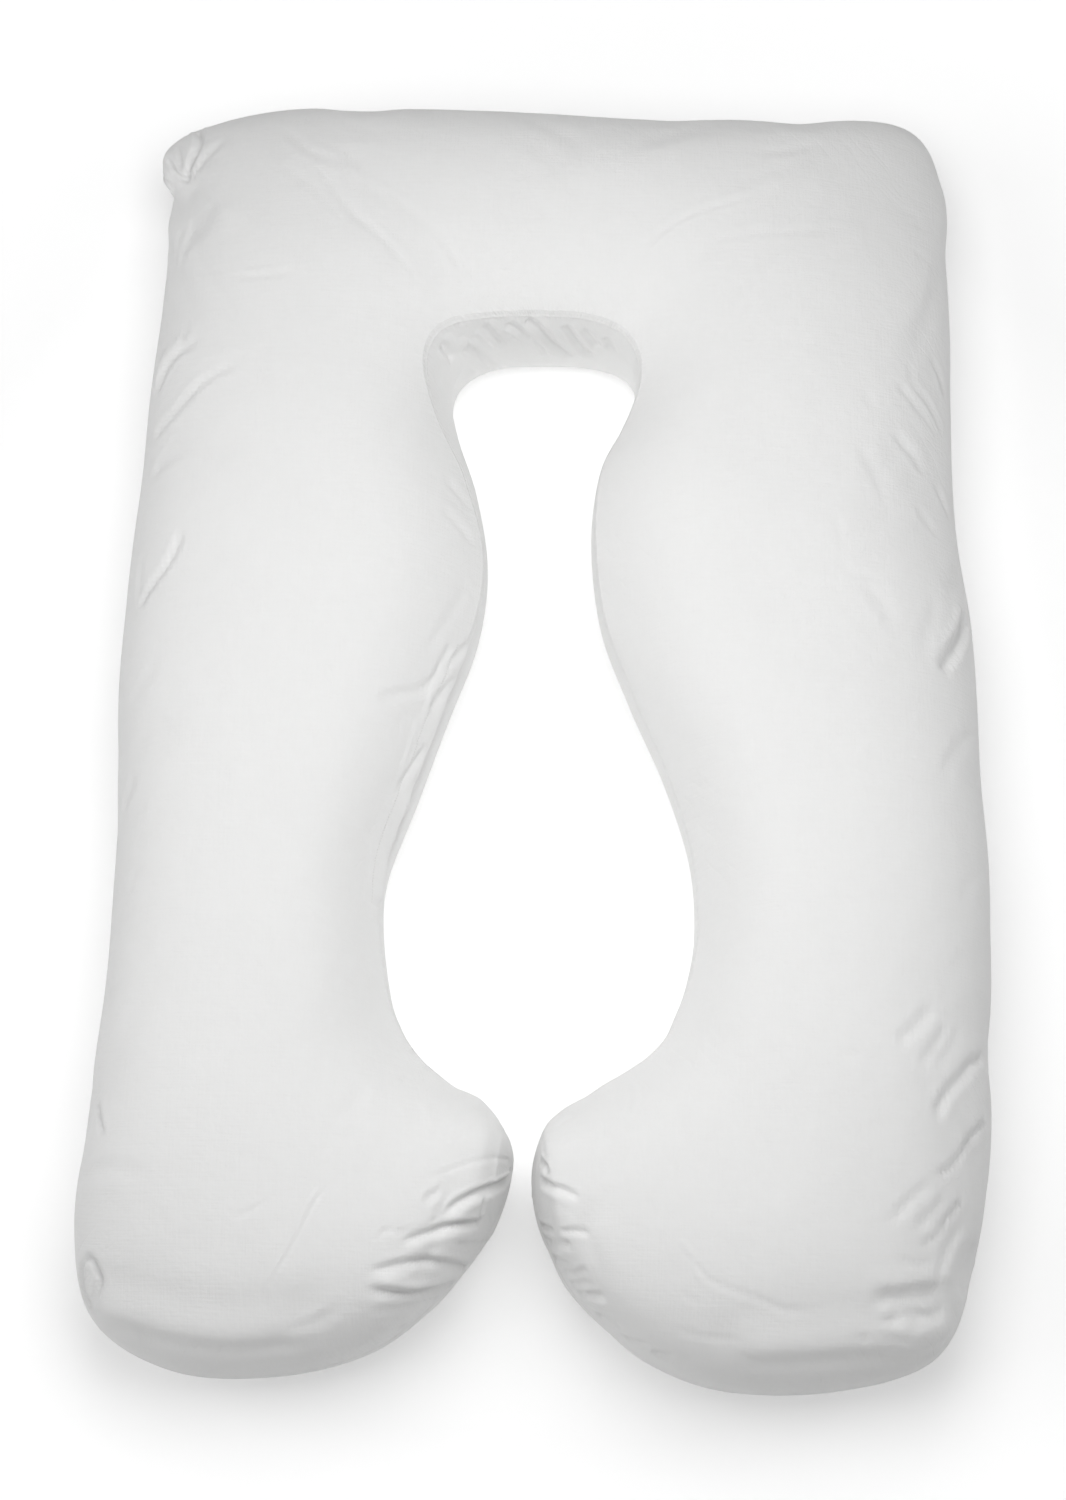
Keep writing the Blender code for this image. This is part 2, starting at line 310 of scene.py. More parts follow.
def add_mesh(name, vertices, faces, material, maps=()):
    """A smooth mesh object at the origin. Maps are UV maps: a name, and the place of each vertex or, where
    a surface closes on itself, of each face corner."""
    mesh = bpy.data.meshes.new(name)
    mesh.from_pydata(np.asarray(vertices).tolist(), [], faces)
    mesh.shade_smooth()
    mesh.materials.append(material)
    corners = np.empty(len(mesh.loops), np.int32)
    mesh.loops.foreach_get("vertex_index", corners)
    for map_name, places in maps:
        places = places[corners] if len(places) == len(vertices) else places
        mesh.uv_layers.new(name=map_name).data.foreach_set("uv", places.astype(np.float32).ravel())
    piece = bpy.data.objects.new(name, mesh)
    bpy.context.scene.collection.objects.link(piece)
    return piece


# ---------------------------------------------------------------- creases
# Each row is a crease's depth, width, skew, start, finish and points, with its lengths in millimetres. A
# negative depth is a ridge. Skew moves the steep side: at 0.5 the left side, walking along the points, is
# three times as wide as the right one. Start and finish are the lengths over which it fades in and out. The
# points are x, y and, on a side or a wall, z.
CREASES = (
    # left toe
    (1.3, 2.4, 0.3, 3, 30, ((-32, -531, 134), (-43, -538), (-60, -545), (-77, -551), (-93, -559),
        (-108, -565), (-122, -570))),
    (6.2, 4.6, 0.35, 2, 14, ((-30, -534, 117), (-33, -547, 122), (-40, -560, 150), (-51, -570), (-63, -578),
        (-76, -586), (-86, -594), (-92, -603))),
    (2.2, 4.2, 0.2, 6, 6, ((-97, -578), (-109, -585), (-115, -593))),
    (5.4, 4.6, 0.35, 4, 20, ((-57, -598, 148), (-75, -609), (-92, -614), (-113, -622), (-132, -629),
        (-141, -633))),
    (1.9, 2.6, 0.3, 6, 6, ((-100, -607), (-118, -617), (-134, -621), (-151, -621), (-158, -625),
        (-160, -630))),
    (2.6, 3.4, 0, 4, 4, ((-55, -579), (-56, -589), (-58, -598, 153))),
    (-1.4, 2.2, 0, 3, 3, ((-50, -573), (-48, -585, 143), (-49, -594, 93))),
    (2, 2.6, 0.3, 2, 12, ((-52, -598, 64), (-59, -610, 106), (-71, -622, 147), (-84, -627))),
    (4.2, 5, 0.35, 3, 30, ((-73, -633, 89), (-84, -642, 140), (-96, -645), (-113, -647), (-134, -651),
        (-155, -657), (-174, -660))),
    (-3, 5.5, -0.2, 4, 30, ((-75, -636, 90), (-82, -646, 106), (-102, -662, 142), (-123, -670, 160),
        (-144, -671), (-172, -668))),
    (2.8, 5, 0.2, 6, 24, ((-85, -649, 89), (-97, -662, 120), (-117, -673, 147), (-133, -678), (-155, -678),
        (-176, -676))),
    (1.4, 5, 0.2, 6, 14, ((-100, -668, 102), (-117, -680, 129), (-141, -690, 152), (-166, -696))),
    (1.4, 4.5, 0.2, 6, 14, ((-133, -698, 104), (-147, -706, 123), (-168, -711, 142))),
    (1.4, 4, 0, 6, 8, ((-95, -526), (-84, -518), (-70, -509))),
    (0.9, 4, 0, 6, 8, ((-79, -489), (-62, -478, 147))),
    (1.2, 7, 0, 10, 14, ((-125, -482), (-126, -507), (-119, -527))),
    # left foot
    (1.2, 7, 0, 14, 18, ((-183, -463), (-188, -486), (-216, -520))),
    (1, 6, 0, 8, 8, ((-148, -443), (-134, -457))),
    (1.2, 6, -0.2, 16, 20, ((-250, -716), (-216, -706), (-190, -690))),
    (1.2, 8, 0, 24, 24, ((-466, -560), (-430, -560), (-390, -574))),
    (4, 3, 0.3, 5, 4, ((-459, -486, 147), (-453, -505, 156), (-446, -521))),
    (4.4, 3.4, 0, 3, 3, ((-459, -645, 134), (-452, -646, 142), (-445, -655, 145), (-441, -670, 142),
        (-444, -688, 128))),
    (3.6, 3.2, 0, 3, 3, ((-460, -646, 132), (-462, -658, 124), (-458, -679, 116), (-450, -689, 120))),
    (-2, 2.6, 0, 3, 4, ((-453, -692, 110), (-440, -688, 132))),
    (-0.9, 2.2, 0, 12, 14, ((-216, -576), (-227, -593), (-248, -638), (-264, -666), (-269, -686))),
    (0.9, 2.6, 0, 12, 14, ((-214, -578), (-225, -595), (-246, -640), (-262, -667), (-267, -687))),
    (-1.4, 2.2, 0, 4, 5, ((-401, -705, 143), (-400, -721, 128), (-397, -732, 114))),
    (-4.2, 14, 0.3, 24, 44, ((-450, -693, 115), (-425, -700, 135), (-400, -705, 143), (-362, -716, 148),
        (-315, -722, 152), (-258, -719, 154), (-209, -714, 155))),
    (1, 2.6, 0, 6, 8, ((-307, -609), (-290, -606), (-268, -590))),
    # right toe
    (4, 3.4, -0.2, 1, 5, ((2, -537), (5, -544), (9, -550), (10, -555))),
    (5, 4, -0.35, 2, 12, ((2, -555, 158), (11, -566), (23, -573), (34, -578), (44, -584))),
    (4.4, 3.6, -0.2, 1, 4, ((3, -590, 108), (10, -599, 131), (16, -608, 154))),
    (2.6, 3.4, -0.1, 2, 4, ((7, -598, 97), (12, -606, 107))),
    (2.6, 3.2, -0.35, 4, 10, ((23, -612), (38, -614), (55, -618))),
    (3.2, 4.6, -0.2, 3, 5, ((13, -608, 111), (22, -621, 157), (34, -625))),
    (3, 4.2, -0.2, 3, 6, ((17, -620, 86), (23, -631, 123), (32, -640, 152))),
    (2.8, 4, -0.2, 4, 6, ((27, -641, 119), (39, -650, 149), (51, -649))),
    (2.6, 3.8, -0.2, 3, 6, ((35, -654, 115), (44, -658, 142), (53, -658, 159))),
    (3.4, 5, -0.3, 3, 12, ((42, -662, 114), (53, -669, 138), (70, -674, 159))),
    (-2, 4, 0, 3, 8, ((51, -671, 123), (60, -676, 136), (75, -683, 150))),
    (3, 5, -0.2, 3, 10, ((61, -683, 109), (72, -691, 121), (87, -701, 134))),
    (2.6, 5, -0.2, 3, 10, ((89, -707, 116), (102, -715, 127), (116, -719, 138))),
    (2.2, 5, -0.2, 3, 10, ((118, -724, 127), (130, -728, 131), (142, -729, 138))),
    (1.6, 5, 0, 6, 8, ((16, -501, 159), (27, -494, 158), (37, -484, 151))),
    (0.9, 4, 0, 8, 14, ((108, -463), (103, -486), (99, -507))),
    (0.9, 4, 0, 8, 14, ((94, -455, 148), (90, -478), (88, -496))),
    # right foot
    (1.6, 2.4, -0.35, 5, 24, ((160, -646), (172, -660), (200, -671), (230, -680), (250, -688), (270, -687),
        (291, -682))),
    (-1, 2.4, 0, 5, 8, ((142, -628), (152, -633), (160, -646))),
    (1.2, 2.4, -0.2, 6, 10, ((143, -675), (154, -679), (166, -681))),
    (1.2, 2.6, -0.3, 10, 24, ((137, -708), (175, -714), (214, -716))),
    (1.4, 2.8, -0.2, 10, 14, ((202, -728), (235, -735))),
    # the pinched corner
    (2.6, 3.2, 0.3, 6, 8, ((433, -566, 150), (420, -580, 157), (410, -595), (404, -605), (393, -613),
        (384, -620))),
    (1.2, 5, 0.2, 10, 14, ((378, -563), (370, -580), (356, -594), (345, -602))),
    (-3.4, 7, 0.3, 8, 5, ((437, -594, 139), (430, -608, 142), (422, -623, 146), (414, -638, 149),
        (410, -651, 149))),
    (3.4, 12, 0, 10, 10, ((453, -599, 106), (445, -621, 114), (436, -643, 120), (430, -660, 122))),
    (-1.4, 2, 0, 3, 6, ((410, -651, 149), (419, -663, 136), (427, -670, 122), (427, -678, 116))),
    (5.6, 8.4, -0.15, 14, 26, ((411, -659, 145), (394, -665, 155), (375, -669), (354, -673), (330, -677))),
    (4.8, 8.6, -0.1, 12, 16, ((414, -674, 137), (396, -681, 147), (377, -684, 156), (361, -685),
        (348, -684))),
    (-1.8, 2.6, 0, 4, 14, ((408, -650, 151), (394, -652, 159), (379, -655), (361, -659), (348, -663))),
    (-2, 2.8, 0, 4, 6, ((381, -677, 157), (391, -680, 150), (402, -678, 144))),
    (-1.8, 2.2, 0, 2, 3, ((378, -687, 154), (369, -696, 152))),
    (-1.5, 5, 0.2, 16, 5, ((333, -700, 160), (354, -701, 154), (371, -702, 148), (385, -703, 141),
        (395, -697, 139))),
    (2, 2.4, 0.2, 3, 3, ((372, -693, 153), (387, -692, 147))),
    (1.8, 2.2, 0.2, 3, 3, ((378, -699, 147), (390, -694, 144))),
    (1.8, 3, -0.2, 8, 8, ((315, -710, 156), (327, -708, 155), (339, -709, 153))),
    (2.2, 3.4, -0.2, 8, 8, ((344, -693), (367, -692, 155))),
    (2, 3.2, -0.2, 6, 6, ((366, -632), (377, -637), (387, -636), (398, -633))),
    (-1, 3, 0, 4, 4, ((355, -628), (361, -634))),
    (-4.4, 15, 0.3, 50, 26, ((185, -725, 154), (225, -723, 156), (265, -721, 156), (305, -716, 154),
        (345, -712, 148), (382, -710, 136), (411, -696, 126), (427, -672, 120))),
    # right leg, outer side
    (1.4, 3.6, 0, 10, 12, ((390, 605), (406, 603), (423, 600))),
    (1.4, 3.6, 0, 10, 12, ((394, 592), (412, 590), (431, 586))),
    (1.3, 3.6, 0, 10, 10, ((403, 551), (425, 544))),
    (1, 5, 0, 20, 20, ((227, 93), (262, 102), (288, 102))),
    (1.6, 6.5, 0.2, 20, 26, ((466, -40), (450, -58), (430, -86), (416, -120))),
    (1.4, 6.5, 0.2, 20, 26, ((470, -200), (452, -222), (432, -256))),
    (2.6, 4, 0.3, 8, 14, ((422, 413, 147), (434, 397, 137), (443, 371, 127))),
    (2.8, 3.6, 0.3, 8, 10, ((397, 367), (414, 354, 154), (426, 339, 146), (436, 320, 135))),
    (2.6, 3.6, 0.3, 8, 10, ((380, 363), (394, 348), (411, 332, 157), (431, 315, 141))),
    (2.6, 6, 0.3, 14, 20, ((370, 301), (386, 287), (403, 270), (417, 257, 155))),
    (3, 4, 0.3, 8, 10, ((426, 251, 148), (436, 235, 139), (445, 218, 129))),
    (1.3, 8, 0.3, 16, 20, ((333, 279), (346, 253), (357, 231), (367, 202))),
    (-1.2, 3, 0, 8, 10, ((357, 240), (368, 218), (373, 203))),
    (1.8, 5, 0.2, 8, 12, ((401, 214), (415, 194), (433, 186, 147))),
    (1.2, 2.6, -0.2, 6, 14, ((314, 125), (330, 113), (351, 113), (362, 98))),
    (1.5, 9, 0.2, 10, 20, ((335, 101), (351, 88), (361, 71), (369, 49))),
    (7.2, 7.4, -0.15, 8, 14, ((458, 97, 128), (452, 67, 142), (438, 37, 158), (423, 11))),
    (-2, 5, 0, 6, 12, ((449, 106, 140), (441, 74, 152), (424, 40))),
    (2, 3.2, 0, 4, 6, ((449, 157, 132), (438, 136, 148), (427, 120, 159))),
    (1.8, 3, 0, 4, 6, ((451, 139, 132), (441, 123, 147), (429, 103, 159))),
    (1.6, 8, 0, 16, 24, ((420, 106), (414, 73), (395, 30))),
    (1, 5, 0.2, 10, 14, ((343, 349), (350, 319))),
    (1, 4, 0, 12, 14, ((307, 190), (314, 146), (311, 125))),
    (1.3, 4.5, 0, 8, 10, ((395, 396), (398, 378), (391, 366))),
    (4.2, 5.4, 0.1, 6, 16, ((461, -410, 138), (444, -424, 156), (431, -441), (416, -459), (408, -474),
        (401, -490))),
    (3.1, 3.6, 0.2, 6, 16, ((460, -478, 131), (448, -493, 145), (436, -512, 155), (424, -530), (415, -538),
        (398, -550))),
    (-1.2, 2.4, 0, 8, 10, ((434, -358), (420, -370), (404, -383))),
    (2.6, 6, 0.1, 10, 14, ((404, -373), (393, -382), (382, -395), (360, -416))),
    (2.6, 5, 0.1, 10, 14, ((418, -387), (404, -411), (386, -437))),
    (1.8, 5, 0.1, 12, 14, ((433, -389), (418, -414), (400, -439))),
    (2, 3.4, 0, 5, 5, ((421, -325), (435, -321))),
    (1.2, 3, 0, 5, 5, ((427, -309), (441, -305))),
    (1.6, 5, 0.1, 10, 14, ((398, -552), (379, -570), (357, -593))),
    (2.2, 4.6, 0.1, 10, 14, ((413, -565), (390, -592), (378, -604))),
    (1.4, 3.4, 0, 12, 14, ((330, -424), (314, -430), (302, -435))),
    # head bar
    (1.2, 3.5, 0.4, 8, 30, ((99, 526), (113, 541), (140, 562), (181, 580), (226, 599))),
    (0.8, 5, 0.2, 20, 30, ((167, 536), (215, 544), (277, 552), (325, 559))),
    (0.9, 5, 0, 20, 20, ((-144, 554), (-128, 520), (-106, 492))),
    (0.9, 4.5, 0, 20, 24, ((-385, 483), (-340, 480), (-297, 484))),
    (1, 6, 0, 20, 30, ((-330, 700), (-300, 660), (-262, 634))),
    (0.9, 6, 0, 20, 30, ((300, 690), (262, 670), (212, 662))),
    # the empty corner at the left end of the head bar
    (6.5, 4.6, 0, 4, 6, ((-448, 643, 118), (-443, 664, 130), (-438, 687, 134), (-436, 708, 128),
        (-438, 728, 108))),
    (5, 3.4, 0, 2, 10, ((-449, 647, 116), (-460, 664, 108), (-472, 686, 100))),
    (3.6, 3.2, 0, 4, 8, ((-449, 651, 120), (-455, 677, 116), (-460, 704, 108))),
    (-1, 3, 0, 6, 8, ((-446, 660, 124), (-446, 688, 124), (-448, 712, 112))),
    (2.6, 4, 0, 4, 8, ((-458, 643, 100), (-466, 655, 95), (-474, 673, 90))),
    (-1.2, 3, 0, 8, 14, ((-440, 646), (-432, 664), (-422, 682), (-408, 700))),
    (2.2, 4.4, 0.2, 8, 20, ((-440, 640), (-428, 654), (-415, 671), (-396, 694))),
    (5.5, 24, 0, 30, 40, ((-452, 646), (-438, 606), (-428, 570), (-424, 530))),
    # left leg, outer side
    (1.8, 6.4, -0.3, 14, 20, ((-456, 240), (-440, 262), (-420, 284))),
    (3, 7.2, -0.2, 10, 16, ((-460, -160), (-452, -142), (-444, -122))),
    (1.4, 7.2, -0.2, 16, 24, ((-458, -40), (-440, -20), (-424, 10))),
    (1.4, 6.4, -0.2, 16, 24, ((-456, -280), (-440, -256), (-426, -226))),
    (-0.7, 2.4, 0, 16, 24, ((-431, 492, 148), (-376, 486), (-323, 487))),
    (1.4, 5, 0.2, 8, 12, ((-431, 586, 139), (-435, 542, 140), (-443, 510, 137))),
    (1.3, 10, 0.2, 14, 20, ((-404, 600, 151), (-423, 563, 146), (-430, 533, 145))),
    (1, 5, 0.2, 14, 20, ((-407, 356), (-386, 365), (-347, 370))),
    (1.8, 4, 0.2, 6, 10, ((-423, 435, 158), (-428, 411, 157), (-437, 393, 152))),
    (1.6, 4, 0.2, 6, 10, ((-444, 572, 130), (-448, 548, 129), (-452, 525, 127))),
    (5.4, 6.4, 0, 12, 30, ((-458, 347, 134), (-453, 364, 140), (-444, 382, 147), (-431, 394, 156),
        (-416, 398), (-405, 401))),
    (-2, 3.2, 0, 8, 12, ((-461, 370, 128), (-453, 394, 137), (-439, 412, 149))),
    (-1.2, 2.6, 0, 8, 8, ((-435, 406, 153), (-424, 424, 158))),
    (3.4, 4.8, 0, 12, 30, ((-456, 283, 142), (-450, 295, 149), (-436, 306, 160), (-423, 318), (-408, 335),
        (-387, 352), (-369, 360), (-352, 365))),
    (-1, 2.4, 0, 12, 20, ((-398, 345), (-380, 359), (-362, 365))),
    (4.8, 4.2, 0.2, 10, 16, ((-454, 71, 159), (-447, 85), (-434, 101), (-422, 117), (-414, 135),
        (-407, 159))),
    (2, 7, 0, 16, 20, ((-457, 234, 145), (-438, 249), (-410, 266))),
    (1.6, 5, 0, 12, 16, ((-458, 137, 152), (-456, 105, 155), (-456, 73, 157))),
    # left leg, inner side
    (1.6, 5.6, 0.2, 10, 14, ((-126, 242), (-108, 228), (-90, 214))),
    (1.6, 5.6, 0.2, 10, 14, ((-126, 202), (-106, 186), (-88, 168))),
    (1.8, 4.4, 0.2, 6, 18, ((-96, 115), (-106, 90), (-117, 67), (-138, 27))),
    (1.4, 3.6, 0, 5, 8, ((-86, 108), (-94, 116), (-108, 112))),
    (3.6, 5, -0.25, 12, 8, ((-186, -38), (-172, -32), (-158, -25), (-144, -17, 155), (-135, -7, 148),
        (-125, 6, 142), (-122, 18, 142), (-114, 36, 139), (-109, 48, 138))),
    (-1.4, 2.4, 0, 10, 16, ((-107, 40, 132), (-118, 15, 137), (-127, -5, 141), (-134, -32, 139),
        (-145, -58, 143), (-152, -82, 143), (-162, -112, 144))),
    (3, 4, 0.2, 4, 10, ((-92, 55, 120), (-102, 41, 127), (-111, 26, 133), (-118, 11, 135))),
    (2.6, 5, 0.2, 6, 14, ((-104, 20, 119), (-115, 0, 128), (-125, -19, 132), (-133, -36, 136))),
    (3, 3.2, 0.25, 4, 16, ((-137, -72, 126), (-145, -87, 131), (-155, -108, 136), (-165, -131, 140))),
    (1.2, 4, 0, 10, 14, ((-159, -45), (-163, -63), (-166, -81, 159))),
    (1, 4, 0, 10, 14, ((-147, -38, 152), (-154, -50, 156), (-158, -62, 157))),
    # neck hole
    (4.8, 5.4, 0.1, 6, 6, ((-40, 454, 139), (-30, 453, 131), (-20, 452, 116), (-10, 454, 90), (3, 454, 72),
        (14, 454, 55))),
    (4.4, 5, 0.1, 6, 6, ((4, 453, 131), (12, 451, 118), (24, 452, 88), (38, 451, 62))),
    (4, 5.4, 0.1, 6, 8, ((-90, 446, 140), (-83, 445, 130), (-74, 445, 109), (-65, 449, 87))),
    (4.4, 5.6, 0.1, 6, 6, ((-136, 417, 148), (-127, 415, 131), (-122, 413, 115))),
    (4.2, 5.6, 0.1, 6, 6, ((-111, 428, 118), (-100, 432, 97), (-88, 439, 66), (-78, 449, 30))),
    (3.2, 4.6, 0.1, 5, 5, ((51, 445, 120), (57, 442, 110), (62, 442, 94))),
    (-2, 5, 0, 6, 10, ((-27, 452, 103), (-14, 454, 76), (-3, 454, 55))),
    (-2, 5, 0, 6, 10, ((-61, 450, 127), (-44, 451, 104), (-27, 454, 73), (-17, 454, 53))),
    (-1.6, 5, 0, 6, 8, ((-116, 430, 133), (-107, 431, 116))),
    (2.6, 5, 0.1, 6, 8, ((-61, 452, 137), (-47, 451, 122), (-37, 452, 101))),
    (2.6, 4.6, 0.1, 6, 6, ((25, 451, 128), (37, 448, 112), (46, 448, 93))),
)
CREASE_STEP = 0.004  # between the points of a crease's line
CREASE_LIP = 0.32  # height of the swelling on both sides of a crease, as a share of its depth


def smooth_line(points, step):
    """A line through the points, spaced about a step apart, with Catmull-Rom slopes."""
    points = np.asarray(points, float)
    length = measured_line(points)
    count = max(int(length[-1] / step) + 2, 5)
    place = np.interp(np.linspace(0, length[-1], count), length, np.arange(len(points)))
    return smooth_rows(points, place)


def laid_on(line, surface, normals):
    """The line's points, each moved along the normal of its nearest vertex onto the plane there."""
    nearest = np.argmin(np.linalg.norm(line[:, None] - surface[None], axis=-1), axis=1)
    away = np.sum((line - surface[nearest]) * normals[nearest], axis=1)
    return line - normals[nearest] * away[:, None]


def crease_line(given, surface, normals, facing_up):
    """The crease's line on the surface. A point with no z takes that of the top below or above it."""
    points = []
    for point in given:
        point = np.array(point) / 1000
        if len(point) == 2:
            gap = np.linalg.norm(surface[facing_up, :2] - point, axis=1)
            closest = np.argsort(gap)[:4]
            share = 1 / (gap[closest] + 1e-4)
            point = (*point, np.sum(surface[facing_up][closest, 2] * share) / share.sum())
        points.append(point)
    line = smooth_line(points, CREASE_STEP)
    low, high = line.min(axis=0) - 0.03, line.max(axis=0) + 0.03
    near = np.all((surface > low) & (surface < high), axis=1)
    return laid_on(line, surface[near], normals[near])


def crease_height(line, depth, width, skew, start, finish, surface, normals):
    """Height that a crease adds at each vertex near it: with d the distance to its line over the width
    of that side, -depth * (exp(-d * d) - lip * exp(-((d - 1.9) / 0.8) ** 2)), faded at both ends.
    It returns the indices of those vertices and their heights."""
    reach = 3.6 * width * (1 + abs(skew))
    low, high = line.min(axis=0) - reach, line.max(axis=0) + reach
    near = np.flatnonzero(np.all((surface > low) & (surface < high), axis=1))
    points, up = surface[near], normals[near]
    step = np.diff(line, axis=0)
    length = np.linalg.norm(step, axis=1)
    before = np.concatenate([[0], np.cumsum(length)])
    best = np.full(len(near), np.inf)
    along, side = np.zeros(len(near)), np.zeros(len(near))
    for first, run, long, gone in zip(line, step, length, before):
        offset = points - first
        share = np.clip(offset @ run / long**2, 0, 1)
        across = offset - share[:, None] * run
        away = np.linalg.norm(across, axis=1)
        closer = away < best
        best = np.where(closer, away, best)
        along = np.where(closer, gone + share * long, along)
        side = np.where(closer, np.sum(np.cross(run, across) * up, axis=1), side)
    # Past its two ends the distance still grows, so a crease closes in a round hollow.
    distance = best / np.where(side > 0, width * (1 + skew), width * (1 - skew))
    profile = np.exp(-(distance**2)) - CREASE_LIP * np.exp(-(((distance - 1.9) / 0.8) ** 2))
    fade = np.clip(along / start, 0, 1) * np.clip((before[-1] - along) / finish, 0, 1)
    return near, -depth * profile * fade * fade * (3 - 2 * fade)


def creased(grid, height):
    """The cover moved along its plain surface's normals by a height and by every crease."""
    normals = grid_normals(grid)
    surface, up = grid.reshape(-1, 3), normals.reshape(-1, 3)
    facing_up = np.zeros(grid.shape[:2], bool)
    facing_up[:, 1:FRONT_COLUMNS] = True
    facing_up = np.flatnonzero(facing_up)
    height = height.reshape(-1).copy()
    for depth, width, skew, start, finish, given in CREASES:
        line = crease_line(given, surface, up, facing_up)
        depth, width, start, finish = (0.001 * value for value in (depth, width, start, finish))
        near, added = crease_height(line, depth, width, skew, start, finish, surface, up)
        height[near] += added
    return (surface + up * height[:, None]).reshape(grid.shape)


# ---------------------------------------------------------------- the empty corner and the seams
EAR_REACH = 0.021  # how far the empty corner of the cover stands out beside the head bar
EAR_HEIGHT = 0.096  # above the floor, where it stands out most
EAR_FROM, EAR_MOST, EAR_TO = 0.636, 0.680, 0.744  # along y
EAR_RISE = 0.026  # along y, at its lower end
EAR_INSIDE, EAR_SIDE = -0.405, 0.035  # it starts here along x, and over this length
EAR_ABOVE, EAR_BELOW = 0.020, 0.030  # how far it thins out
EAR_WAY = (-0.97, 0.24, 0.0)
SEAM_DIP, SEAM_DIP_WIDTH = 0.0005, 0.0026
UNEVENNESS = 0.0008  # of the filling
FOLD_FROM, FOLD_TO = 0.066, -0.258  # along y, the folded edge on the left leg's inner side
FOLD_HOLLOW = 0.010  # how far the wall goes in under it
HOLLOW_DROP, HOLLOW_WIDTH = 0.013, 0.009  # from the seam


def smooth_step(value):
    """0 below 0, 1 above 1, and 3 t^2 - 2 t^3 between."""
    value = np.clip(value, 0, 1)
    return value * value * (3 - 2 * value)


def pulled_corner(grid):
    """The grid with the cover's empty corner pulled out of it as a fin at the left end of the head bar. It
    rises steeply at its lower end, falls slowly to its upper end, and thins out above and below."""
    x, y, z = np.moveaxis(grid, -1, 0)
    along = smooth_step((y - EAR_FROM) / EAR_RISE) * (1 - smooth_step((y - EAR_MOST) / (EAR_TO - EAR_MOST)))
    rise = (z - EAR_HEIGHT) / np.where(z > EAR_HEIGHT, EAR_ABOVE, EAR_BELOW)
    weight = along * np.exp(-(rise**2)) * smooth_step((EAR_INSIDE - x) / EAR_SIDE)
    return grid + EAR_REACH * weight[..., None] * np.array(EAR_WAY)


def fold_share(seam):
    """How much of the folded edge is there at each of the inner seam's points: 1, and 0 past its ends."""
    there = smooth_step((FOLD_FROM - seam[:, 1]) / 0.05) * smooth_step((seam[:, 1] - FOLD_TO) / 0.03)
    return there * (np.arange(len(seam)) < len(seam) // 2)


def sewn_height(front, back):
    """Heights of the dips along both seams, of the hollow in the wall under the folded edge and of the
    filling's slow unevenness."""
    run_front, run_back = measured(front), measured(back)
    front_gap = np.minimum(run_front, run_front[:, -1:] - run_front)[:, :-1]
    to_inner = (run_back[:, -1:] - run_back)[:, :-1]
    gap = np.concatenate([front_gap, np.minimum(run_back[:, :-1], to_inner)], axis=1)
    dip = -SEAM_DIP * np.exp(-((gap / SEAM_DIP_WIDTH) ** 2))
    hollow = FOLD_HOLLOW * np.exp(-(((to_inner - HOLLOW_DROP) / HOLLOW_WIDTH) ** 2))
    dip[:, FRONT_COLUMNS:] -= hollow * fold_share(front[:, 0])[:, None]
    x, y = (np.concatenate([front[:, :-1, axis], back[:, :-1, axis]], axis=1) for axis in (0, 1))
    slow = np.sin(19 * x + 7 * y + 1.2) * np.sin(15 * y - 6 * x) + 0.6 * np.sin(31 * y + 9 * x + 0.5)
    return dip + UNEVENNESS * slow


# ---------------------------------------------------------------- slack cloth
SIMULATED_ROWS = 450
SIMULATED_FRONT = 84
SIMULATED_BACK = 28
SIMULATED_FRAMES = 20
FINE_WRINKLE_MOST = 0.0045  # height
WRINKLE_GAIN = 0.75
BROAD_ALONG, BROAD_ROUND = 40, 64  # smoothing passes that leave the broad part
HELD_BELOW = 0.012  # height under which the underside stays where it is
WEIGHT_STEPS = 20
SLACK_PLACES = ((-0.45, 0.70), (0.43, 0.70), (-0.44, -0.68), (0.42, -0.68))  # the four outer corners


def regridded(grid, row_places, column_places):
    """A closed grid read at fractional rows and columns, smoothly in both directions."""
    rows, columns = grid.shape[:2]
    flat = smooth_rows(grid.reshape(rows, -1), row_places)
    across = np.moveaxis(flat.reshape(len(row_places), columns, -1), 1, 0).reshape(columns, -1)
    around = smooth_rows(np.concatenate([across, across[:3]]), column_places)
    return np.moveaxis(around.reshape(len(column_places), len(row_places), -1), 0, 1)


def evened(field, passes, wrap):
    """A field smoothed by repeated 1-2-1 averages along one axis: it closes on itself if wrap is set."""
    for _ in range(passes):
        if wrap:
            field = (np.roll(field, 1, axis=1) + 2 * field + np.roll(field, -1, axis=1)) / 4
        else:
            padded = np.concatenate([field[:1], field, field[-1:]])
            field = (padded[:-2] + 2 * field + padded[2:]) / 4
    return field


def slack(points):
    """How much more cloth than surface there is, from 0 to 1: a little on top, more down the sides, and
    most at the toes and at the outer corners."""
    x, y, z = points.T
    side = np.clip((0.185 - z) / 0.07, 0, 1)
    toes = np.exp(-(((x + 0.02) / 0.16) ** 2) - ((y + 0.60) / 0.12) ** 2)
    corners = sum(np.exp(-((x - cx) ** 2 + (y - cy) ** 2) / 0.01) for cx, cy in SLACK_PLACES)
    return np.clip(0.12 + 0.55 * side + 0.8 * toes + 0.5 * corners, 0, 1)


def add_weights(piece, name, weights):
    """A vertex group whose weights are rounded to a few steps."""
    group = piece.vertex_groups.new(name=name)
    steps = np.round(weights * WEIGHT_STEPS).astype(int)
    for step in range(1, WEIGHT_STEPS + 1):
        group.add(np.flatnonzero(steps == step).tolist(), step / WEIGHT_STEPS, "REPLACE")


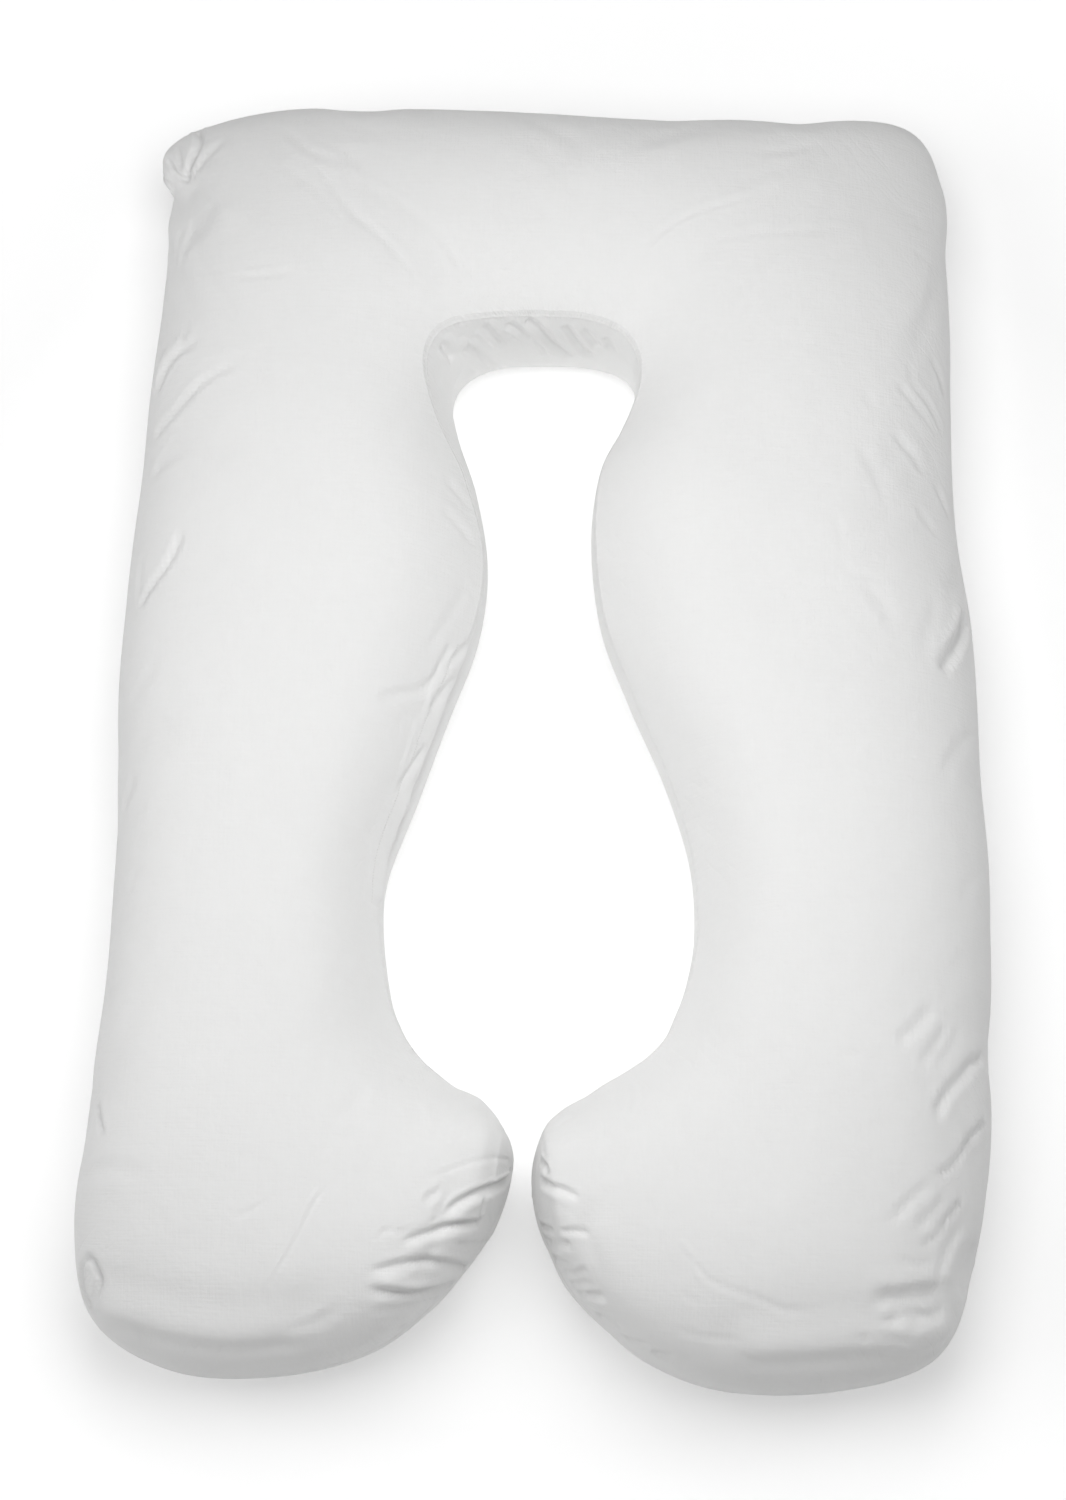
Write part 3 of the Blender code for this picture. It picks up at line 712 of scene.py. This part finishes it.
def blown_up(vertices, faces):
    """The vertices after the cloth, cut a little too large, is blown up from within. The underside
    stays where it is."""
    mesh = bpy.data.meshes.new("slack_cloth")
    mesh.from_pydata(vertices.tolist(), [], faces)
    piece = bpy.data.objects.new("slack_cloth", mesh)
    scene = bpy.context.scene
    scene.collection.objects.link(piece)
    held = (vertices[:, 2] < HELD_BELOW).astype(float)
    held[-2:] = 1
    add_weights(piece, "held", held)
    add_weights(piece, "slack", slack(vertices))
    cloth = piece.modifiers.new("cloth", "CLOTH")
    settings = cloth.settings
    settings.quality, settings.mass, settings.air_damping = 6, 0.3, 1.0
    settings.tension_stiffness = settings.compression_stiffness = 40
    settings.shear_stiffness, settings.bending_stiffness = 8, 0.08
    settings.tension_damping = settings.compression_damping = 8
    settings.shear_damping, settings.bending_damping = 5, 0.5
    settings.use_pressure, settings.uniform_pressure_force = True, 3.0
    settings.vertex_group_mass, settings.pin_stiffness = "held", 1.0
    settings.vertex_group_shrink, settings.shrink_min, settings.shrink_max = "slack", 0.0, -0.05
    settings.effector_weights.gravity = 0.0
    cloth.collision_settings.use_collision = False
    cloth.point_cache.frame_start, cloth.point_cache.frame_end = 1, SIMULATED_FRAMES
    for number in range(1, SIMULATED_FRAMES + 1):
        scene.frame_set(number)
    evaluated = piece.evaluated_get(bpy.context.evaluated_depsgraph_get())
    moved = np.empty(len(vertices) * 3, np.float32)
    evaluated.to_mesh().vertices.foreach_get("co", moved)
    evaluated.to_mesh_clear()
    bpy.data.objects.remove(piece)
    bpy.data.meshes.remove(mesh)
    scene.frame_set(1)
    return moved.reshape(-1, 3).astype(float)


def slack_wrinkles(grid, tips):
    """Heights of the wrinkles that slack cloth makes, at the cover's vertices. The broad part of the
    movement is taken out, so the pillow keeps its shape, and the rest is held under a limit."""
    rows, columns = grid.shape[:2]
    row_places = np.linspace(0, rows - 1, SIMULATED_ROWS)
    front = np.linspace(0, FRONT_COLUMNS, SIMULATED_FRONT, endpoint=False)
    back = np.linspace(FRONT_COLUMNS, columns, SIMULATED_BACK, endpoint=False)
    column_places = np.concatenate([front, back])
    coarse = regridded(grid, row_places, column_places)
    shape = coarse.shape[:2]
    vertices = np.concatenate([coarse.reshape(-1, 3), tips])
    moved = blown_up(vertices, grid_faces(*shape, True))[: -len(tips)].reshape(coarse.shape)
    height = np.sum((moved - coarse) * grid_normals(coarse), axis=-1)
    broad = evened(evened(height, BROAD_ALONG, False), BROAD_ROUND, True)
    height = FINE_WRINKLE_MOST * np.tanh(WRINKLE_GAIN * (height - broad) / FINE_WRINKLE_MOST)
    height = evened(evened(height, 1, False), 1, True)
    back_rows = np.interp(np.arange(rows), row_places, np.arange(shape[0]))
    back_columns = np.interp(np.arange(columns), [*column_places, columns], np.arange(shape[1] + 1))
    return regridded(height[..., None], back_rows, back_columns)[..., 0]


# ---------------------------------------------------------------- shader arithmetic
class Value:
    """A number socket of a node tree. Its operators add Math nodes."""

    def __init__(self, tree, socket):
        self.tree, self.socket = tree, socket

    def math(self, operation, *values):
        node = self.tree.nodes.new("ShaderNodeMath")
        node.operation = operation
        for socket, value in zip(node.inputs, values):
            plug(self.tree, socket, value)
        return Value(self.tree, node.outputs[0])

    def __add__(self, other):
        return self.math("ADD", self, other)

    def __sub__(self, other):
        return self.math("SUBTRACT", self, other)

    def __rsub__(self, other):
        return self.math("SUBTRACT", other, self)

    def __mul__(self, other):
        return self.math("MULTIPLY", self, other)

    __radd__, __rmul__ = __add__, __mul__

    def sine(self):
        return self.math("SINE", self)

    def exponential(self):
        return self.math("EXPONENT", self)

    def absolute(self):
        return self.math("ABSOLUTE", self)

    def maximum(self, other):
        return self.math("MAXIMUM", self, other)

    def bell(self, width):
        """exp(-(value / width) ** 2)"""
        return (self * self * (-1 / width**2)).exponential()

    def clamped(self):
        return self.math("MINIMUM", self.maximum(0), 1)


def plug(tree, socket, value):
    """Links a Value or a socket, or sets a plain number, vector or colour."""
    if isinstance(value, Value):
        value = value.socket
    if isinstance(value, bpy.types.NodeSocket):
        tree.links.new(value, socket)
    else:
        socket.default_value = value


class Cloth:
    """A new material and its node tree."""

    def __init__(self, name):
        self.material = bpy.data.materials.new(name)
        self.material.use_nodes = True
        self.tree = self.material.node_tree
        self.tree.nodes.clear()

    def node(self, kind, settings, sockets):
        """A node of any kind: its settings are set first, then its sockets are plugged by name."""
        made = self.tree.nodes.new(kind)
        for name, value in settings.items():
            setattr(made, name, value)
        for name, value in sockets.items():
            plug(self.tree, made.inputs[name], value)
        return made

    def value(self, kind, settings, sockets, output):
        return Value(self.tree, self.node(kind, settings, sockets).outputs[output])

    def noise(self, place, scale, detail, roughness=0.5):
        """Noise from 0 to 1, about 0.5."""
        sockets = {"Vector": place, "Scale": scale, "Detail": detail, "Roughness": roughness}
        return self.value("ShaderNodeTexNoise", {}, sockets, "Fac")

    def gray(self, level):
        """A colour whose three parts are the same number."""
        sockets = dict.fromkeys(("Red", "Green", "Blue"), level)
        return self.node("ShaderNodeCombineColor", {}, sockets).outputs[0]

    def parts(self, vector):
        """The three numbers of a vector."""
        split = self.node("ShaderNodeSeparateXYZ", {}, {"Vector": vector})
        return tuple(Value(self.tree, socket) for socket in split.outputs)

    def finish(self, shader):
        self.node("ShaderNodeOutputMaterial", {}, {"Surface": shader.outputs[0]})
        return self.material


COTTON = (0.86, 0.86, 0.855)
THREAD = 0.00055  # from one thread to the next
WEAVE_HEIGHT, THICK_HEIGHT = 0.00003, 0.0006  # of the thread grid, and of its thick threads
CRUMPLE_HEIGHT, DRAG_DEPTH = 0.0016, 0.0002
GROOVE_DEPTH, GROOVE_WIDTH = 0.0004, 0.0011  # along a seam
WELT_HEIGHT, WELT_WIDTH, WELT_PLACE = 0.0004, 0.0013, 0.0042  # beside a seam
PUCKER_HEIGHT, PUCKER_LENGTH, PUCKER_REACH = 0.0002, 0.011, 0.009
HEM_WIDTH = 0.020  # from the flap's folded edge to its stitches
STITCH, STITCH_WIDTH, STITCH_HEIGHT = 0.0032, 0.0006, 0.0006
ROW_DEPTH = 0.0005  # of the groove that the stitches pull


def stretched(cloth, place, stretch):
    """Noise on a place stretched by three factors."""
    pulled = cloth.node("ShaderNodeVectorMath", {"operation": "MULTIPLY"}, {0: place, 1: stretch})
    return cloth.noise(pulled.outputs[0], 1.0, 2.0)


def thread_height(cloth, panel):
    """Height of a plain weave with thick and thin threads, in metres, and how thick they are, from 0 to 1."""
    across, along = cloth.parts(panel)[:2]
    turn = math.pi / THREAD
    weave = (across * turn).sine() * (along * turn).sine()
    thick = stretched(cloth, panel, (380.0, 26.0, 1.0)) + stretched(cloth, panel, (26.0, 380.0, 1.0))
    thick = thick * 0.5
    return weave * WEAVE_HEIGHT + thick * THICK_HEIGHT, thick


def crumple_height(cloth, place):
    """Height of the soft crumples all over, and of the sparse drag lines down the sides, which slant to
    the middle as they rise. A drag line lies where a noise stretched along the slant crosses its mean."""
    soft = cloth.noise(place, 34.0, 4.0, 0.55)
    x, y, z = cloth.parts(place)
    aside = x.absolute()
    slant = {"X": (aside * 0.8 + y * 0.6) * 62, "Y": (y * 0.8 - aside * 0.6) * 11, "Z": z * 14}
    drag = cloth.noise(cloth.node("ShaderNodeCombineXYZ", {}, slant).outputs[0], 1.0, 1.5)
    line = (1 - (drag - 0.5).absolute() * 13).maximum(0)
    patches = ((cloth.noise(place, 9.0, 1.0) - 0.42) * 6).clamped()
    there = patches * ((0.186 - z) * 30).clamped()
    return soft * CRUMPLE_HEIGHT - line * line * there * DRAG_DEPTH


def woven_cotton(name, color, sewn):
    """Matt plain-woven cotton: a thread grid, thick threads, crumples and drag lines as bump, and a faint
    mottle in its colour. Sewn is "seams" for a fine groove and puckers along the seams, with painted shade
    in the groove, or "hem" for one row of stitches, with painted shade in the row between the stitches."""
    cloth = Cloth(name)
    panel = cloth.node("ShaderNodeUVMap", {"uv_map": "panel"}, {}).outputs[0]
    place = cloth.node("ShaderNodeTexCoord", {}, {}).outputs["Object"]
    threads, thick = thread_height(cloth, panel)
    height = threads + crumple_height(cloth, place)
    mottle_and_painted_shade = 0.966 + 0.026 * cloth.noise(place, 7.0, 3.0) + 0.034 * thick
    if sewn == "seams":
        run, gap = cloth.parts(cloth.node("ShaderNodeUVMap", {"uv_map": "seams"}, {}).outputs[0])[:2]
        near = (gap * (-1 / PUCKER_REACH)).exponential()
        groove = gap.bell(GROOVE_WIDTH)
        pucker = (run * (math.tau / PUCKER_LENGTH) + cloth.noise(place, 16.0, 1.0) * 11).sine() * near
        welt = (gap - WELT_PLACE).bell(WELT_WIDTH)
        height = height + pucker * PUCKER_HEIGHT + welt * WELT_HEIGHT - groove * GROOVE_DEPTH
        # painted shade: the seam's groove is darkened in colour as well as sunk
        mottle_and_painted_shade = mottle_and_painted_shade - groove * 0.02
    else:
        around, run = cloth.parts(panel)[:2]
        row = (around - (FLAP_WIDTH + FLAP_OVERHANG - HEM_WIDTH)).bell(STITCH_WIDTH)
        stitch = ((run * (math.tau / STITCH)).sine() * 3 + 1.5).clamped()
        height = height - row * ROW_DEPTH + row * stitch * STITCH_HEIGHT
        # painted shade: the colour is darker in the sunk row between the raised stitches
        mottle_and_painted_shade = mottle_and_painted_shade - row * (1 - stitch) * 0.10
    tint = cloth.node(
        "ShaderNodeMix",
        {"data_type": "RGBA", "blend_type": "MULTIPLY"},
        {0: 1.0, 6: (*color, 1.0), 7: cloth.gray(mottle_and_painted_shade)},
    )
    bump = cloth.node("ShaderNodeBump", {}, {"Strength": 1.0, "Distance": 1.0, "Height": height})
    shader = cloth.node(
        "ShaderNodeBsdfPrincipled",
        {},
        {
            "Base Color": tint.outputs[2],
            "Roughness": 0.92,
            "Sheen Weight": 0.2,
            "Sheen Roughness": 0.5,
            "Specular IOR Level": 0.15,
            "Normal": bump.outputs[0],
        },
    )
    return cloth.finish(shader)


# ---------------------------------------------------------------- camera, floor and light
VIEW_ELEVATION = 68.0  # degrees above the floor
VIEW_TURN = 1.4  # degrees round from the foot end
VIEW_DISTANCE = 3.36
VIEW_TARGET = (-0.018, -0.058, 0.09)
LENS, SENSOR = 73.3, 36.0  # millimetres
FLOOR_GLOW = 0.25  # the floor is a lit table, so no hard shadow falls on it
FAR_FLOOR_GLOW = 0.45
GLOW_RISES_FROM, GLOW_RISES_OVER = 0.8, 0.4
FLOOR_REACH, FLOOR_DROP = 12.0, 0.0005  # just below the pillow
WORLD_LIGHT = 0.155


def add_camera():
    """A camera over the foot end, looking down at the pillow's face."""
    turn, rise = math.radians(VIEW_TURN), math.radians(VIEW_ELEVATION)
    back = Vector((math.sin(turn) * math.cos(rise), -math.cos(turn) * math.cos(rise), math.sin(rise)))
    camera = bpy.data.objects.new("camera", bpy.data.cameras.new("camera"))
    camera.data.lens, camera.data.sensor_width = LENS, SENSOR
    right = Vector((math.cos(turn), math.sin(turn), 0.0))
    axes = Matrix((right, back.cross(right), back)).transposed().to_4x4()
    camera.matrix_world = Matrix.Translation(Vector(VIEW_TARGET) + back * VIEW_DISTANCE) @ axes
    bpy.context.scene.collection.objects.link(camera)
    bpy.context.scene.camera = camera


def add_floor():
    """A plain pale floor. Its glow grows away from the pillow, where less of the soft boxes' light falls."""
    paper = Cloth("floor_paper")
    place = paper.node("ShaderNodeTexCoord", {}, {})
    place = place.outputs["Object"]
    away = paper.value("ShaderNodeVectorMath", {"operation": "LENGTH"}, {0: place}, "Value")
    far = ((away - GLOW_RISES_FROM) * (1 / GLOW_RISES_OVER)).clamped()
    glow = paper.gray(far * (FAR_FLOOR_GLOW - FLOOR_GLOW) + FLOOR_GLOW)
    shader = paper.node(
        "ShaderNodeBsdfPrincipled",
        {},
        {
            "Base Color": (0.93, 0.93, 0.93, 1.0),
            "Roughness": 0.9,
            "Emission Color": glow,
            "Emission Strength": 1.0,
        },
    )
    ways = ((-1, -1), (1, -1), (1, 1), (-1, 1))
    corners = [(x * FLOOR_REACH, y * FLOOR_REACH, -FLOOR_DROP) for x, y in ways]
    floor = add_mesh("floor", corners, [[0, 1, 2, 3]], paper.finish(shader))


def add_soft_light(name, place, size, energy):
    """A soft box aimed at the pillow's middle: its size is width and length."""
    lamp = bpy.data.lights.new(name, "AREA")
    lamp.shape, lamp.size, lamp.size_y, lamp.energy = "RECTANGLE", *size, energy
    light = bpy.data.objects.new(name, lamp)
    light.location = place
    if place[0] or place[1]:
        light.rotation_euler = (Vector((0, 0, 0.1)) - Vector(place)).to_track_quat("-Z", "Y").to_euler()
    light.visible_camera = False
    bpy.context.scene.collection.objects.link(light)


def add_studio():
    add_camera()
    add_floor()
    add_soft_light("overhead_box", (0, 0, 1.7), (1.3, 1.8), 21.7)
    add_soft_light("left_box", (-2.95, -0.6, 2.17), (2.4, 2.4), 26.5)
    add_soft_light("right_box", (2.95, 0, 2.17), (2.4, 2.4), 13.5)
    world = bpy.data.worlds.new("studio")
    world.use_nodes = True
    background = world.node_tree.nodes["Background"].inputs
    background["Color"].default_value = (1, 1, 1, 1)
    background["Strength"].default_value = WORLD_LIGHT
    bpy.context.scene.world = world
    bpy.context.scene.view_settings.view_transform = "Standard"


# ---------------------------------------------------------------- the pieces
def add_panel(name, panel, tips, material, maps):
    """One panel of the cover, from seam to seam, closed at both toes."""
    vertices = np.concatenate([panel.reshape(-1, 3), tips])
    maps = [
        (key, np.concatenate([places.reshape(-1, 2), places[[0, -1]].mean(axis=1)]))
        for key, places in zip(("panel", "seams"), maps)
    ]
    piece = add_mesh(name, vertices, grid_faces(*panel.shape[:2], False), material, maps)
    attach(piece, "root")
    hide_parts("pillow")
    return piece


def add_cover(material):
    """The cover with its filling, as its two sewn panels. It returns the creased surface and the panels,
    for the piece that lies on them."""
    front, back = cover_panels()
    grid = np.concatenate([front[:, :-1], back[:, :-1]], axis=1)
    tips = np.array([(*LEFT_TOE_TIP, GIRTH_HEIGHT), (*RIGHT_TOE_TIP, GIRTH_HEIGHT)])
    wrinkles = slack_wrinkles(grid, tips)
    grid = creased(pulled_corner(grid), wrinkles + sewn_height(front, back))
    grid[..., 2] = np.maximum(grid[..., 2], 0.0)
    maps = cloth_places(front, back)
    whole = np.concatenate([grid, grid[:, :1]], axis=1)
    top_maps, under_maps = (
        [places[:, part] for places in maps] for part in (slice(FRONT_COLUMNS), slice(FRONT_COLUMNS, None))
    )
    top = add_panel("cover_top", whole[:, :FRONT_COLUMNS], tips, material, top_maps)
    under = add_panel("cover_under", whole[:, FRONT_COLUMNS - 1 :], tips, material, under_maps)
    return grid, (top, under)


FLAP_WIDTH = 0.040
FLAP_OVERHANG = 0.0040  # how far its folded edge passes the seam
FLAP_THICKNESS = 0.0016
FLAP_SUNK = 0.0019  # its sewn edge in the cover
FLAP_LIFT = 0.0052  # its folded edge, over the sewn one
FLAP_STATIONS = 15  # across it
FLAP_COLUMNS = 44  # of the front panel, more than enough for its width
FLAP_NEAREST = 0.0012  # to the seam, where it leaves the surface
BEND_STATIONS = 5  # round the folded edge


def flap_section(edge_line, away, lift):
    """One closed ring of points for each row: the outer layer from the sewn edge to the folded edge, half
    a turn, and the inner layer back. The sewn edge is sunk in the cover, and the layers rise from it by a
    lift that grows with the square of the distance."""
    share = np.linspace(0, 1, edge_line.shape[1])[None, :, None]
    gap = lift[:, None, None] * share**2 - FLAP_SUNK
    inner = edge_line + away * gap
    outer = edge_line + away * (gap + FLAP_THICKNESS)
    outward = unit(edge_line[:, -1] - edge_line[:, -2])
    turn = np.linspace(0, np.pi, BEND_STATIONS + 2)[1:-1]
    middle = (inner[:, -1] + outer[:, -1]) / 2
    half = FLAP_THICKNESS / 2
    bend = (
        middle[:, None]
        + away[:, -1][:, None] * (half * np.cos(turn))[None, :, None]
        + outward[:, None] * (half * np.sin(turn))[None, :, None]
    )
    return np.concatenate([outer, bend, inner[:, ::-1]], axis=1)


def flap_line(grid):
    """For each row under the flap, the points across it from the sewn edge to past the seam, and the
    directions that point away from the cover there."""
    rows = np.flatnonzero(fold_share(grid[:, 0]) > 0)
    strip, away = grid[rows, :FLAP_COLUMNS], grid_normals(grid)[rows, :FLAP_COLUMNS]
    length = measured(strip)
    wanted = np.linspace(FLAP_WIDTH, FLAP_NEAREST, FLAP_STATIONS)
    both = np.concatenate([strip, away], axis=-1)
    read = np.array([[np.interp(wanted, at, values) for values in row.T] for at, row in zip(length, both)])
    line, turned = np.split(np.moveaxis(read, 1, 2), 2, axis=-1)
    past = unit(line[:, -1] - line[:, -2])
    line = np.concatenate([line, (line[:, -1] + past * FLAP_OVERHANG)[:, None]], axis=1)
    turned[:, -1] = turned[:, -2]
    turned = np.concatenate([turned, turned[:, -1:]], axis=1)
    for _ in range(6):
        turned[1:-1] = (turned[:-2] + 2 * turned[1:-1] + turned[2:]) / 4
        line[1:-1, -1] = (line[:-2, -1] + 2 * line[1:-1, -1] + line[2:, -1]) / 4
    return line, unit(turned)


def add_flap(grid, material):
    """The folded edge of the cover that hides its opening, along the left leg's inner side: a hemmed
    double strip that follows the cover's surface from FLAP_WIDTH up the front panel down to the seam."""
    line, away = flap_line(grid)
    run = measured_line(line[:, -1])
    ripple = 0.0011 * np.sin(run * 95) * np.sin(run * 31 + 0.8) + 0.0007 * np.sin(run * 160 + 1.0)
    there = smooth_step(run / 0.02) * smooth_step((run[-1] - run) / 0.06)
    points = flap_section(line, away, (FLAP_LIFT + ripple) * there)
    points, run = points[::-1], run[::-1]  # so that the faces look outward
    count = points.shape[1]
    around = measured(np.concatenate([points, points[:, :1]], axis=1))
    place = np.stack(np.broadcast_arrays(around, run[:, None]), axis=-1)
    quads = np.stack([place[:-1, :-1], place[1:, :-1], place[1:, 1:], place[:-1, 1:]], axis=2)
    fans = [
        np.stack([place[0, :-1], place[0, :-1], place[0, 1:]], axis=1),
        np.stack([place[-1, :-1], place[-1, 1:], place[-1, :-1]], axis=1),
    ]
    corners = np.concatenate([part.reshape(-1, 2) for part in (quads, *fans)])
    vertices = np.concatenate([points.reshape(-1, 3), points[[0, -1]].mean(axis=1)])
    faces = grid_faces(len(points), count, True)
    flap = add_mesh("closure_fold", vertices, faces, material, (("panel", corners),))
    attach(flap, "root")
    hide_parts("closure_flap")


def main():
    add_studio()
    grid, panels = add_cover(woven_cotton("cover_cotton", COTTON, "seams"))
    add_flap(grid, woven_cotton("flap_cotton", COTTON, "hem"))


main()
bpy.context.view_layer.update()
